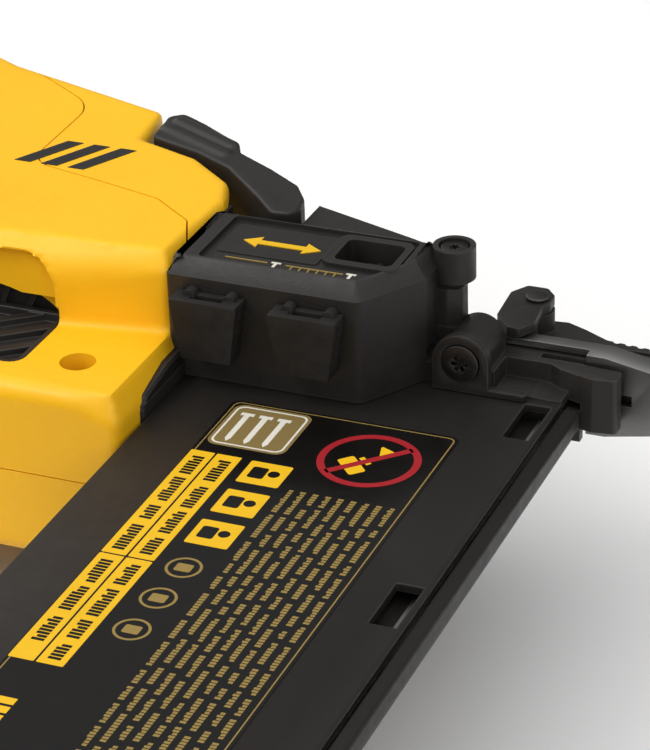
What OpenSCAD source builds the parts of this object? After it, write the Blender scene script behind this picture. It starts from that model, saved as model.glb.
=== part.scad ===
// Cordless brad nailer, lying on its left side.
// In the working frame +X is the drive direction, +Y points to the top of the tool,
// +Z points out of its right side, and z = 0 is the seam between the two housing shells.
// to_rest() moves that frame so that the tool lies on z = 0, centred over the origin.

/* [Drive line] */
// Height of the drive line above the upper end of the magazine
drive_y = 12; // [11.5:0.1:12.5]
// Offset of the drive line to the right of the shell seam
drive_z = 7.5; // [7.4:0.05:7.6]
// Travel of the driver
stroke = 74; // [60:1:74]
// Reach of the contact trip in front of the magazine
trip_reach = 26; // [24:0.5:28]

/* [Housing] */
// Half width of the upper housing
body_half = 34; // [33:0.5:36]
// Half width of the lower step around the motor
step_half = 18; // [17:0.5:19]
// Half width of the handle
grip_half = 16.5; // [15.5:0.5:18]
// Half width of the foot
foot_half = 20; // [19:0.5:22]
// Wall thickness of the shells
wall = 3; // [2.6:0.1:3.4]
// Thickness of the rubber bumpers on the sides
bumper_t = 2; // [1.5:0.5:3]

/* [Magazine] */
// Width of the magazine plate, from its rear edge to the nail tips
magazine_w = 69.3; // [66:0.1:72]
// Length of the magazine
magazine_l = 208; // [200:1:240]
// Thickness of the sliding cover plate
cover_t = 1.6; // [1.4:0.1:1.7]
// Height of the plate's outer face above the seam
plate_z = 10; // [10:0.1:10]
// Distance between the nail windows
window_pitch = 65; // [60:1:70]

/* [Battery] */
// Width of the battery pack
battery_w = 72; // [66:1:72]
// Length of the battery pack
battery_l = 114; // [110:1:118]
// Depth of the battery pack
battery_d = 44; // [40:1:48]

/* [Hidden] */

$fn = 64;
yellow = "#f2b416";
black = "#2b2826";
rubber = "#1d1c1b";
steel = "#9a9c9e";
dark_steel = "#55575a";

// Sides of the tool, for pieces that come in pairs
sides = [-1, 1];
// Gap between parts that move past each other
gap = 0.3;
// Radial clearance of a running fit
run = 0.05;

rest_z = body_half + bumper_t;
rest_x = 124;
rest_y = 84.5;

// Section of the driver and of its channels
driver_h = 9;
driver_w = 4.4;
blade_h = 3;
blade_w = 1.2;
driver_back = -205;
driver_front = -108;
blade_tip = -57;
rod_z = 12;
rod_r = 2;
wing_front = -193;

// Flywheel, whose rim almost touches the underside of the driver
wheel_r = 21;
wheel_x = -113;
wheel_y = drive_y - driver_h / 2 - gap - wheel_r;
axle_r = 4;
bearing_r = 9;
// Inner and outer faces of the upper frame plates, from the drive line
plate_in = 17;
plate_out = 20;
// Faces of the motor plates, above the seam
motor_right = [11.6, 14.4];
motor_left = [-14.6, -11.6];

// Pinch roller above the driver
arm_pivot = [-152, 31];
roller_r = 7;
roller_y = drive_y + driver_h / 2 + 1 + roller_r;
arm_pin_r = 3;
solenoid_y = 36.5;

nose_top = 14;
lever_pivot = [-60, 16.5];
lever_pin_r = 2.5;
lever_out = 33;
lever_in = 24;
door_pivot = [11, 16.4];
door_pin_r = 1.2;
// Ears that carry the door's pin, from the drive line
ear_in = 2.7;
ear_out = 4.2;
latch_pivot = [-12, 22.6];
latch_pin_r = 1.6;
bolt_pos = [-18, 16.2];
tube_y = -3.5;
boss_pos = [-23.2, 8.2];
depth_pos = [-36.5, 25];
depth_axle_r = 1.5;
vent_floor = 14.8;
vent_top = 21.5;
recess_top = 31;
lock_pos = [-161, -32.6];
lock_r = 4;
selector_pos = [-91, -183];
hook_pos = [-150, -182];
light_pos = [-128, 9];
light_r = 3;
tray_z = plate_z - cover_t - 2.4;
mag_end = -1.3 - magazine_l;
latch_y = mag_end - 4;
latch_z = 1.8;
pack_x = [-226, -226 + battery_l];
pack_y = [-194 - battery_d, -193.6];
cell_r = 9.1;

module to_rest() translate([rest_x, rest_y, rest_z]) children();
module block(lo, hi) translate(lo) cube(hi - lo);
module bar_x(x0, x1, y, z, r) translate([x0, y, z]) rotate([0, 90, 0]) cylinder(h = x1 - x0, r = r);
module bar_y(y0, y1, x, z, r) translate([x, y0, z]) rotate([-90, 0, 0]) cylinder(h = y1 - y0, r = r);
module bar_z(z0, z1, p, r) translate([p[0], p[1], z0]) cylinder(h = z1 - z0, r = r);
module slab(z0, z1) translate([0, 0, z0]) linear_extrude(z1 - z0) children();
module soft(r) offset(r) offset(-r) children();
module block_2d(lo, hi) translate(lo) square(hi - lo);

// ---- Housing outlines, seen from the right side ----

module body_2d() soft(3) polygon([
    [-71, -13], [-71, 13], [-74, 21], [-84.4, 29.4], [-98.6, 34.6], [-100.4, 47.8], [-140, 62],
    [-150, 68], [-205, 69], [-246, 59], [-266, 43], [-274, 20], [-274, -6], [-262, -19], [-235, -27],
    [-150, -27], [-128, -21], [-96, -17]
]);
module step_2d() soft(2) polygon([
    [-71, 0], [-71, -15], [-70.4, -26], [-70.4, -40], [-148, -41], [-172, -40], [-180, 0]
]);
module grip_2d() soft(3) polygon([
    [-160, -8], [-166, -44], [-171, -110], [-173, -176], [-214, -176], [-209, -110],
    [-213, -50], [-232, -8]
]);
module foot_2d() soft(3) polygon([
    [-168, -156], [-146, -171], [-72, -174], [-72, -192], [-234, -192], [-234, -180], [-216, -158]
]);

// The front cover's part line against the shells
module cover_region() polygon([
    [-60, -4.7], [-71.1, -4.7], [-74, 2], [-83.6, 9.2], [-98, 13.1], [-112, 16.6], [-115, 20.4],
    [-115.4, 42.5], [-121, 53.7], [-142, 64], [-142, 80], [-60, 80]
]);

// One half of the housing's solid form, from z = base upward, grown inward by inset
module half_form(inset, base) {
    slab(base, body_half - inset) offset(-inset) body_2d();
    slab(base, step_half - inset) offset(-inset) step_2d();
    slab(base, grip_half - inset) offset(-inset) grip_2d();
    slab(base, foot_half - inset) offset(-inset) foot_2d();
}

// What both shells are cut open for: nose, vents, trigger, battery and controls
module shell_openings() {
    block([-80, -4.8, -1], [-60, 22, body_half - wall]);
    block([-80, -37, -1], [-60, -4, step_half - wall]);
    slab(vent_floor - 0.2, vent_top) offset(gap) vent_2d();
    slab(step_half, recess_top) soft(2) block_2d([-134, -45], [-93.8, -13]);
    block([-180, -83, -1], [-160, -42, 7]);
    bar_z(-1, step_half + 1, lock_pos, lock_r + 0.15);
    block([-223, -200, -1], [-139, -188, 16.4]);
    block([-88, -188, -1], [-70, -176, 8]);
    bar_y(-42, -36, light_pos[0], light_pos[1], light_r + 0.05);
}

// Screws that hold the shells together: x, y and the height of the outer face there
shell_screws = [
    [-82.8, -29, step_half], [-150, -33, step_half], [-222, 48, body_half], [-249, -8, body_half],
    [-192, -104, grip_half], [-194, -144, grip_half], [-112, -182, foot_half]
];
screw_sink = 10;
module shell_half(bore, sink) difference() {
    union() {
        difference() {
            half_form(0, 0);
            half_form(wall, -1);
            slab(-1, body_half + 1) offset(0.1) cover_region();
            block([-280, -40, -1], [-258, 80, body_half + 1]);
        }
        for (p = shell_screws) bar_z(0, p[2] - 1, p, 5.2);
        // Backing of the recess above the motor vent
        slab(step_half - wall, body_half) intersection() {
            body_2d();
            block_2d([-137, -45], [-90.8, -8]);
        }
    }
    shell_openings();
    for (p = shell_screws) {
        bar_z(-1, p[2] - 3, p, bore);
        if (sink > 0) bar_z(p[2] - sink, p[2] + 1, p, 3.4);
    }
}

module housing_right() to_rest() color(yellow) difference() {
    shell_half(1.7, screw_sink);
    bar_z(foot_half - 4, foot_half + 1, hook_pos, 2);
    bar_z(foot_half - 4, foot_half + 1, selector_pos, 5.2);
}
module housing_left() to_rest() color(yellow) mirror([0, 0, 1]) shell_half(1.5, 0);

module front_cover() to_rest() color(yellow) difference() {
    slab(-body_half, body_half) intersection() {
        body_2d();
        cover_region();
    }
    slab(wall - body_half, body_half - wall) offset(-wall) body_2d();
    block([-80, -8, wall - body_half], [-60, 18, body_half - wall]);
    bar_z(-body_half - 1, body_half + 1, lever_pivot, 12);
}

module rear_cap() to_rest() color(black) difference() {
    slab(-body_half, body_half) intersection() {
        body_2d();
        translate([-290, -40]) square([31.8, 120]);
    }
    slab(wall - body_half, body_half - wall) offset(-wall) body_2d();
    for (y = [-2 : 7 : 40]) block([-280, y, -24], [-266, y + 3, 24]);
}

// Ribbed vent insert in the side of the motor bay
module vent_2d() soft(3) block_2d([-132, -33.3], [-92.7, -10.8]);
module motor_cap() {
    slab(vent_floor, vent_floor + 1) vent_2d();
    slab(vent_floor + 1, step_half - 0.4) difference() {
        vent_2d();
        offset(-1.6) vent_2d();
    }
    slab(vent_floor + 1, step_half - 0.8) intersection() {
        offset(-1) vent_2d();
        translate([-112, -22]) rotate(38) for (i = [-3 : 3]) translate([0, i * 6]) square([60, 2], center = true);
    }
}
module motor_cap_right() to_rest() color(black) motor_cap();
module motor_cap_left() to_rest() color(black) mirror([0, 0, 1]) motor_cap();

module grip_overmold() to_rest() color(rubber) difference() {
    slab(-grip_half - 1.5, grip_half + 1.5) intersection() {
        offset(1.5) grip_2d();
        soft(6) polygon([[-190, -52], [-183, -152], [-222, -152], [-222, -40], [-200, -40]]);
    }
    slab(-grip_half, grip_half) grip_2d();
}

module side_bumpers() to_rest() color(rubber) {
    for (s = sides) scale([1, 1, s]) slab(body_half, body_half + bumper_t)
        soft(4) polygon([[-256, -14], [-232, -20], [-206, -20], [-214, 52], [-242, 54], [-256, 42]]);
    slab(-body_half - bumper_t, -body_half) soft(4) translate([-110, 24]) square([12, 10]);
}

// ---- Nose ----

module driver_channel(x0, x1) {
    half_h = driver_h / 2 + gap;
    half_w = driver_w / 2 + 0.2;
    block([x0, drive_y - half_h, drive_z - half_w], [x1, drive_y + half_h, drive_z + half_w]);
}

// The stall lever's two pins, one on each side of the driver channel
module lever_pins(end) {
    bar_z(drive_z + 3.4, end, lever_pivot, lever_pin_r);
    bar_z(-end, drive_z - 3.4, lever_pivot, lever_pin_r);
}

module nose_casting() to_rest() color(black) difference() {
    union() {
        block([-72, -0.8, -8], [-34, 20, nose_top]);
        block([-72, -0.8, -8], [-5.2, 13.9, nose_top]);
        block([-6, -0.8, -1.4], [0.4, 13.9, 10]);
        block([-6, 5.7, -1.4], [2, 13.9, nose_top]);
        // Face plate inside the front of the housing
        block([-77, -4.6, 0.2 - body_half + wall], [-71.6, 17, body_half - wall - 0.2]);
        block([-77, -36, 0.2 - step_half + wall], [-71.6, -4.6, step_half - wall - 0.2]);
        slab(-8, 12.5) soft(1.2) block_2d([-74, -31.6], [-68.8, -0.8]);
        // Bosses for the stall lever's pin
        bar_z(-lever_in + 0.4, lever_in - 0.4, lever_pivot, 5);
        // Bolt tube with its flanges
        bar_y(tube_y, 8.5, bolt_pos[0], bolt_pos[1], 4.6);
        block([-22.6, tube_y, 10.3], [-13.4, 8.5, bolt_pos[1]]);
        bar_y(tube_y, tube_y + 1.8, bolt_pos[0], bolt_pos[1], 5.4);
        block([-23.4, tube_y, 10.3], [-12.6, tube_y + 1.8, bolt_pos[1]]);
        slab(10.3, 11.4) soft(0.9) block_2d([-23.4, tube_y], [-5.6, tube_y + 2]);
        // Lobe that guides the contact trip
        slab(3, nose_top) soft(1) polygon([
            [-12, 5.8], [-4, 5.9], [-1.4, 4.2], [3.4, 2.7], [5.2, 2.3], [9.8, 2.9],
            [9.8, 6.6], [4.4, 7], [2, 7.3], [0.2, 10.6], [-2.8, 13.4], [-12, 13.4]
        ]);
    }
    driver_channel(-78, -33);
    // Step beside the lobe
    block([-12.4, -0.9, 10.2], [-4.4, 5.7, nose_top + 1]);
    block([-56, -2, drive_z - 0.8], [3, drive_y + 5, drive_z + 0.8]);
    block([-34.4, 13.9, -9], [3, 30, nose_top + 1]);
    for (s = sides) bar_x(-78, -73, drive_y, drive_z + s * rod_z, rod_r);
    lever_pins(lever_out);
    bar_y(tube_y - 1, 14, bolt_pos[0], bolt_pos[1], 2.05);
    bar_y(tube_y - 1, tube_y + 1.7, bolt_pos[0], bolt_pos[1], 3.8);
    bar_z(9, 22, boss_pos, 1.7);
    // Room for the contact trip as it is pushed in
    block([-6.4, 7.5, -9], [3, 14, 1]);
    block([-6.4, 7.5, -9], [3, 9.4, 16]);
}

module nose_guide() to_rest() color(dark_steel) difference() {
    union() {
        block([2, 9.5, drive_z - ear_out], [15.5, 13.9, drive_z + ear_out]);
        for (s = sides) translate([0, 0, drive_z]) scale([1, 1, s])
            slab(ear_in, ear_out) soft(1) polygon([[6, 9.5], [14.6, 9.5], [14, 18.6], [8, 18.6]]);
    }
    block([1, drive_y - 1.7, drive_z - 0.8], [18, 15, drive_z + 0.8]);
    bar_z(-2, 20, door_pivot, door_pin_r);
}

module cheek_2d() soft(1) polygon([
    [-17, 13.8], [-13.6, 9.8], [-11.2, 9.4], [-9.3, 13], [-10, 19.4], [-9, 21.4],
    [-9.2, 24.6], [-11.4, 27.2], [-15.4, 27.2], [-17.6, 23.6]
]);
module door_2d() soft(0.8) polygon([
    [-33.2, 14.2], [8, 14.2], [12.6, 15.2], [13.6, 17.4], [11, 18.8], [-8, 18.2], [-20, 19.2], [-33.2, 19.2]
]);
module nose_door() to_rest() color(black) difference() {
    union() {
        slab(2.8, 12.2) intersection() {
            door_2d();
            block_2d([-40, 10], [4.6, 22]);
        }
        slab(drive_z - ear_in + gap, drive_z + ear_in - gap) door_2d();
        // Cheeks that carry the latch
        slab(drive_z - 12, drive_z + 10.5) block_2d([-16.8, 14.3], [-10.4, 18.2]);
        slab(drive_z + 8.7, drive_z + 10.5) cheek_2d();
        slab(drive_z - 12, drive_z - 8.7) intersection() {
            cheek_2d();
            block_2d([-20, 14.3], [0, 30]);
        }
    }
    bar_z(-2, 20, door_pivot, door_pin_r + run);
    bar_z(-8, 24, latch_pivot, latch_pin_r);
    bar_z(drive_z - 8.6, drive_z + 8.6, latch_pivot, 4.1);
}

module jam_latch() to_rest() color(black) difference() {
    union() {
        bar_z(drive_z - 8.4, drive_z + 8.4, latch_pivot, 3.3);
        slab(drive_z - 4.4, drive_z + 4.4) soft(0.8) polygon([
            [-12.6, 25.8], [-7, 26.4], [-3, 24.6], [2, 21.8], [14, 20.6], [14.4, 19.4], [8, 19.2], [-4, 19.2], [-12, 19.6]
        ]);
    }
    bar_z(-8, 24, latch_pivot, latch_pin_r + run);
    for (x = [4 : 2.4 : 12]) bar_z(0, 20, [x, 22.2 - 0.1 * x], 0.7);
}
module latch_pin() to_rest() color(steel) {
    bar_z(drive_z - 12.6, drive_z + 10.6, latch_pivot, latch_pin_r);
    bar_z(drive_z + 10.5, drive_z + 11.2, latch_pivot, 2.2);
}

module pivot_pins() to_rest() color(steel) {
    bar_z(drive_z - ear_out - 0.4, drive_z + ear_out + 0.4, door_pivot, door_pin_r);
    lever_pins(lever_out + 0.4);
    bar_z(drive_z - plate_out, drive_z + plate_out, arm_pivot, arm_pin_r);
}

// U-shaped shoe around the nose guide, with a flat bar back to the depth stop
module trip_2d(half) polygon([
    [2.4, -half], [2.4, half], [6, half], [16, half - 1.9], [trip_reach - 2, half - 2.2], [trip_reach, half - 4],
    [trip_reach, 4 - half], [trip_reach - 2, 2.2 - half], [16, 1.9 - half], [6, -half]
]);
module contact_trip() to_rest() color(steel) {
    translate([0, 0, drive_z]) rotate([-90, 0, 0]) difference() {
        slab(7.8, 13) trip_2d(8.2);
        slab(9.2, 14) trip_2d(6.9);
        slab(9.2, 14) block_2d([1, -7], [10.8, 7]);
        // Slot that passes over the waiting nails
        slab(7, 10) block_2d([1, -1.1], [11.2, 1.1]);
    }
    block([-46, 10.1, drive_z + 6.9], [2.4, 13, drive_z + 8.2]);
    block([-60, 8.4, drive_z + 6.9], [-44, 11, drive_z + 8.2]);
    block([-52, 4.6, drive_z + 6.9], [-49, 11, 20]);
}
module trip_spring() to_rest() color(steel) difference() {
    bar_x(-71.3, -60.3, 9.7, 15.2, 1.1);
    bar_x(-72, -60, 9.7, 15.2, 0.5);
}

// ---- Depth adjuster ----

module block_plan() soft(1) polygon([[-70.2, -13.8], [-33.6, -13.8], [-25.4, -0.8], [-25.4, 9.8], [-70.2, 9.8]]);

module depth_housing() to_rest() color(black) difference() {
    union() {
        hull() {
            slab(10.3, 30.5) block_plan();
            slab(10.3, 33) offset(-2) block_plan();
            slab(10.3, 34) offset(-4) block_plan();
        }
        // Wedge behind the block
        slab(16.6, 31) polygon([[-55, 9], [-55, 22.4], [-52, 21.6], [-31, 14.4], [-27, 9]]);
        bar_z(21.1, 27, boss_pos, 2.9);
        bar_z(27, 34, boss_pos, 4);
        block([-28, 4.4, 15], [-23.2, 9.8, 28]);
    }
    block([-72, -0.9, 10], [-20, 14, 16.6]);
    block([-72, -15, 10], [-68.6, 0, 12.8]);
    block([-68, -3.2, 16.4], [-43, 14, 24]);
    block([-42.2, -4.4, 18], [-30.9, 4.4, 35]);
    block([-43.6, 0, 16.4], [-42, 4.4, 24]);
    bar_y(-7.5, 7.5, depth_pos[0], depth_pos[1], depth_axle_r + run);
    slab(33.4, 35) soft(1) block_2d([-65.5, -9.6], [-45, 6.6]);
    bar_z(9, 35, boss_pos, 1.7);
    bar_z(32, 35, boss_pos, 3);
    // Sockets for the spare tips' pegs
    for (x = tip_x) for (dx = [-3.4, 3.4]) bar_y(-15, -11, x + dx, 24.5, 1.15);
}

module depth_wheel() to_rest() color(black) {
    difference() {
        bar_y(-3.8, 3.8, depth_pos[0], depth_pos[1], 5.2);
        for (a = [0 : 24 : 359]) translate([depth_pos[0], 0, depth_pos[1]]) rotate([0, a, 0])
            bar_y(-5, 5, 5.6, 0, 0.75);
    }
    bar_y(-7.3, 7.3, depth_pos[0], depth_pos[1], depth_axle_r);
}

module depth_stop() to_rest() color(steel) {
    block([-66.4, 1, 17], [-61.6, 7.6, 21]);
    block([-61.6, 1, 17], [-43.4, 4, 19.2]);
}

// Cup-shaped no-mar tips, stored on the front of the depth housing
tip_x = [-62.2, -42.8];
tip_face = -13.8 - gap;
module no_mar_tip(x) {
    difference() {
        hull() {
            block([x - 6.6, tip_face - 4.6, 27.2], [x + 6.6, tip_face, 28.2]);
            block([x - 6.2, tip_face - 4.6, 24.4], [x + 6.2, tip_face, 25]);
            block([x - 4.9, tip_face - 4.2, 16.2], [x + 4.9, tip_face, 17]);
        }
        block([x - 3.2, tip_face - 3, 15], [x + 3.2, tip_face - 1.4, 29]);
        block([x + 4.6, tip_face - 3.2, 20], [x + 8, tip_face - 2.2, 27]);
    }
    for (dx = [-3.4, 3.4]) bar_y(tip_face - 0.1, -11.6, x + dx, 24.5, 1.1);
    for (dx = [-3.6, 4.4]) bar_y(tip_face - 2.4, tip_face, x + dx, 28.2, 1.2);
}
module no_mar_tip_a() to_rest() color(rubber) no_mar_tip(tip_x[0]);
module no_mar_tip_b() to_rest() color(rubber) no_mar_tip(tip_x[1]);

// ---- Stall lever ----

module lever_2d() soft(1.6) polygon([
    [-98.2, 37], [-100, 49.4], [-97, 50.4], [-92, 45], [-79.7, 38.6], [-77.2, 35.4], [-71.4, 31.4],
    [-61.6, 24.2], [-57.6, 20.6], [-56, 16.4], [-57, 12.2], [-61.4, 11], [-65.4, 14], [-73, 22.8],
    [-84, 31.6], [-91.6, 34.4]
]);
module stall_lever() to_rest() color(black) difference() {
    union() {
        for (s = sides) scale([1, 1, s]) slab(lever_in, lever_out) lever_2d();
        slab(-lever_in, lever_in) intersection() {
            lever_2d();
            block_2d([-100, 30], [-86, 52]);
        }
    }
    bar_z(-40, 40, lever_pivot, lever_pin_r + run);
    for (s = sides) for (d = [0, 4.4]) translate([-95.6 + 0.3 * d, 42.4 - d, s * lever_out])
        rotate([0, 0, -25]) translate([0, -0.9, -1]) cube([17, 1.8, 2]);
}
module lever_spring() to_rest() color(steel) difference() {
    bar_z(-23.2, -15, lever_pivot, 7);
    bar_z(-24, -14, lever_pivot, 5.4);
}

// ---- Drive mechanism ----

module motor_plate_2d() polygon([[-77.4, 6], [-86, -20], [-100, -35], [-128, -35], [-146, -18], [-150, 6]]);
module mechanism_frame() to_rest() color(steel) difference() {
    union() {
        for (s = sides) translate([0, 0, drive_z]) scale([1, 1, s]) slab(plate_in, plate_out)
            difference() {
                soft(2) polygon([[-77.2, 3], [-214, 3], [-214, 40], [-150, 42], [-86, 17], [-77.2, 14]]);
                soft(3) polygon([[-164, 8], [-204, 8], [-204, 30], [-170, 32]]);
            }
        for (z = [motor_right, motor_left]) slab(z[0], z[1]) soft(3) motor_plate_2d();
        block([-146, 3, motor_right[0]], [-80, 6, drive_z + plate_out]);
        block([-146, 3, motor_left[0]], [-80, 6, drive_z - plate_in]);
        block([-214, 3, drive_z - plate_in], [-209, 30, drive_z + plate_in]);
        bar_z(motor_left[0], motor_right[1], [-141, -6], 3);
        bar_z(drive_z - plate_in, drive_z + plate_in, [-206, 37], 3);
    }
    bar_z(-20, 20, [wheel_x, wheel_y], bearing_r);
    bar_z(-20, 40, arm_pivot, arm_pin_r);
    for (s = sides) bar_x(-215, -208, drive_y, drive_z + s * rod_z, rod_r);
}

module motor_stator() to_rest() color("#8a5a2c") difference() {
    bar_z(motor_left[1], 4.6, [wheel_x, wheel_y], 16.6);
    bar_z(-20, 20, [wheel_x, wheel_y], axle_r + 1);
    for (a = [0 : 40 : 359]) translate([wheel_x, wheel_y, 0]) rotate([0, 0, a])
        block([10, -1.2, -6], [18, 1.2, 5]);
}

module flywheel() to_rest() color(dark_steel) difference() {
    bar_z(-8.6, 10.5, [wheel_x, wheel_y], wheel_r);
    bar_z(-9, 5.2, [wheel_x, wheel_y], 17.4);
    bar_z(-10, 12, [wheel_x, wheel_y], axle_r);
    for (z = [drive_z - 1.5, drive_z + 1.5]) translate([wheel_x, wheel_y, z]) rotate_extrude()
        translate([wheel_r, 0]) polygon([[1, -0.8], [-0.6, 0], [1, 0.8]]);
}
module motor_axle() to_rest() color(steel)
    bar_z(motor_left[0], motor_right[1], [wheel_x, wheel_y], axle_r);
module motor_bearings() to_rest() color(steel) for (z = [motor_right, motor_left]) difference() {
    bar_z(z[0], z[1], [wheel_x, wheel_y], bearing_r);
    bar_z(z[0] - 1, z[1] + 1, [wheel_x, wheel_y], axle_r + run);
}

module driver_body() to_rest() color(steel) difference() {
    union() {
        block([driver_back, drive_y - driver_h / 2, drive_z - driver_w / 2],
              [driver_front, drive_y + driver_h / 2, drive_z + driver_w / 2]);
        block([driver_back, drive_y - 4, drive_z - 16], [wing_front, drive_y + 4, drive_z + 16]);
        block([-170, drive_y - 3, drive_z - 7.5], [-160, drive_y + 3, drive_z + 7.5]);
    }
    for (s = sides) bar_x(driver_back - 1, wing_front + 1, drive_y, drive_z + s * rod_z, rod_r + run);
    // Slot that passes over the nails at the end of the stroke
    block([driver_front - 24, drive_y - driver_h, drive_z - 0.85], [driver_front + 1, drive_y - 1.5, drive_z + 0.85]);
}
module driver_blade() to_rest() color(steel)
    block([driver_front, drive_y - blade_h / 2, drive_z - blade_w / 2],
          [blade_tip, drive_y + blade_h / 2, drive_z + blade_w / 2]);
module guide_rods() to_rest() color(steel) for (s = sides)
    bar_x(-214, -73, drive_y, drive_z + s * rod_z, rod_r);
module return_springs() to_rest() color(steel) for (s = sides) difference() {
    bar_x(wing_front + 0.3, -77.3, drive_y, drive_z + s * rod_z, 3.6);
    bar_x(wing_front, -77, drive_y, drive_z + s * rod_z, 2.6);
}
module bumpers() to_rest() color(rubber) {
    for (s = sides) translate([0, 0, drive_z]) scale([1, 1, s])
        block([-84.6, drive_y - 3.5, 2.8], [-77, drive_y + 3.5, 7.6]);
    block([-209, drive_y - 5, drive_z - 5], [-205.4, drive_y + 5, drive_z + 5]);
}

module arm_2d() {
    hull() {
        translate(arm_pivot) circle(6);
        translate([wheel_x, roller_y]) circle(5);
    }
    block_2d([arm_pivot[0] - 5, arm_pivot[1]], [arm_pivot[0] + 3, 42]);
}
module pinch_arm() to_rest() color(steel) difference() {
    union() {
        for (s = sides) translate([0, 0, drive_z]) scale([1, 1, s]) slab(4.2, 7) arm_2d();
        bar_z(drive_z - 5, drive_z + 5, arm_pivot, 5.2);
        block([arm_pivot[0] - 4.8, 37, drive_z - 5], [arm_pivot[0] + 2.8, 41.8, drive_z + 5]);
    }
    bar_z(-20, 40, arm_pivot, arm_pin_r + run);
    bar_z(-20, 40, [wheel_x, roller_y], 2.5 + run);
}
module pinch_roller() to_rest() color(dark_steel) {
    bar_z(drive_z - 3.8, drive_z + 3.8, [wheel_x, roller_y], roller_r);
    bar_z(drive_z - 7, drive_z + 7, [wheel_x, roller_y], 2.5);
}
module solenoid() to_rest() color(black) difference() {
    bar_x(-202, -170, solenoid_y, drive_z, 10);
    bar_x(-198, -169, solenoid_y, drive_z, 3 + run);
}
module solenoid_plunger() to_rest() color(steel)
    bar_x(-196, arm_pivot[0] - 6.2, solenoid_y, drive_z, 3);

// ---- Handle ----

module trigger() to_rest() color(black) difference() {
    slab(-6.4, 6.4) soft(2) polygon([
        [-155, -43], [-152, -50], [-157, -62], [-155, -76], [-160, -82], [-168, -82], [-168, -43]
    ]);
    block([-169, -67, -3.4], [-163, -57, 3.4]);
}
module trigger_switch() to_rest() color(black) {
    block([-200, -78, -8], [-183, -48, 8]);
    block([-183, -56, -2], [-176.6, -52, 2]);
}
module trigger_spring() to_rest() color(steel) difference() {
    bar_x(-182.8, -163.2, -62, 0, 2.8);
    bar_x(-184, -163, -62, 0, 2);
}
module trigger_lock() to_rest() color(rubber) {
    bar_z(-step_half - 5, step_half + 0.6, lock_pos, lock_r);
}
module control_board() to_rest() color("#1f5a34") {
    block([-204, -187, -15], [-168, -185.4, 15]);
    for (i = [0 : 2]) block([-200 + 10 * i, -185.4, -10], [-194 + 10 * i, -179.4, -3]);
}
module work_lights() to_rest() color("white") for (s = sides)
    bar_y(-40.6, -37, light_pos[0], s * light_pos[1], light_r);
module mode_selector() to_rest() color(black) {
    bar_z(foot_half - wall, foot_half + 1, selector_pos, 5);
    bar_z(foot_half + gap, foot_half + 1.8, selector_pos, 7);
    translate([selector_pos[0], selector_pos[1], foot_half + 1]) rotate([0, 0, 30])
        block([-6, -1.6, 0], [6, 1.6, 3.6]);
}
module belt_hook() to_rest() color(dark_steel) difference() {
    translate([0, -174, 0]) rotate([90, 0, 0]) linear_extrude(16) soft(0.6) polygon([
        [-140, 20], [-140, 22.5], [-164, 22.5], [-164, 41], [-161, 44], [-108, 44], [-104, 41.6],
        [-102.4, 43.4], [-107, 46.5], [-162, 46.5], [-166.5, 42], [-166.5, 20]
    ]);
    bar_z(19, 24, hook_pos, 2.2);
}

// ---- Battery ----

// T-shaped rail: half width of its neck and of its lips
rail_neck = 16;
rail_lip = 20;
module rail_solid(x0, x1, grow) {
    block([x0, -197.4, -rail_neck - grow], [x1, -189, rail_neck + grow]);
    block([x0, -199.2 - grow, -rail_lip - grow], [x1, -196.6 + grow, rail_lip + grow]);
}
module terminal_block() to_rest() color(black) difference() {
    rail_solid(-222, -140, 0);
    for (z = [-10, 0, 10]) block([-200, -200, z - 1], [-139, -194, z + 1]);
}
module battery_case() to_rest() color(rubber) difference() {
    slab(-battery_w / 2, battery_w / 2) soft(5) block_2d([pack_x[0], pack_y[0]], [pack_x[1], pack_y[1]]);
    rail_solid(-222.4, pack_x[1] + 1, 0.35);
    slab(-battery_w / 2 + 2, battery_w / 2 - 2) soft(3)
        block_2d([pack_x[0] + 12, pack_y[0] + 3], [pack_x[1] - 3, -203]);
    // Pocket of the release button
    block([pack_x[0] - 1, -207, -12.3], [pack_x[0] + 3.4, -193, 12.3]);
}
module battery_cells() to_rest() color("#4f6f96") for (i = [0 : 4])
    bar_z(3 - battery_w / 2, battery_w / 2 - 3, [-203 + i * 2 * (cell_r + 0.1), -220], cell_r);
module battery_release() to_rest() color(black)
    block([pack_x[0] - 2, -202.6, -12], [pack_x[0] + 3, -194.2, 12]);

// ---- Magazine ----

module magazine_body() to_rest() color(black) difference() {
    union() {
        block([0.8 - magazine_w, mag_end, -10], [-5.2, -1.2, tray_z]);
        block([-8, mag_end, -1.4], [0.6, -1.2, tray_z]);
        block([0.8 - magazine_w, mag_end, tray_z - 1], [-56, -1.2, plate_z - cover_t - gap]);
    }
    block([-39, mag_end - 1, -7.6], [-17, -8, tray_z + 1]);
    block([-69, -188, -9], [-62, -176, 3]);
}
module magazine_cover() to_rest() color(black) difference() {
    union() {
        block([0.8 - magazine_w, mag_end - 7, plate_z - cover_t], [0.8, -1.3, plate_z]);
        for (x = [-53, -19.2]) block([x, mag_end - 7, -1.4], [x + 2.2, mag_end - gap, plate_z]);
    }
    bar_x(-54, -16, latch_y, latch_z, 1.2 + run);
    for (i = [0 : 2]) block([-5.4, -16.2 - i * window_pitch, 6], [-0.6, -3.4 - i * window_pitch, 11]);
}
module tip_rail() to_rest() color(dark_steel)
    translate([0, -1.6, 0]) rotate([90, 0, 0]) linear_extrude(magazine_l - 0.3)
        soft(0.9) block_2d([1.1, 5.4], [4.3, 9.4]);
module magazine_bracket() to_rest() color(steel) difference() {
    block([-86, -187, -7], [-62.2, -177, 2.8]);
    bar_z(-8, 4, [-78, -182], 1.7);
}
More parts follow.
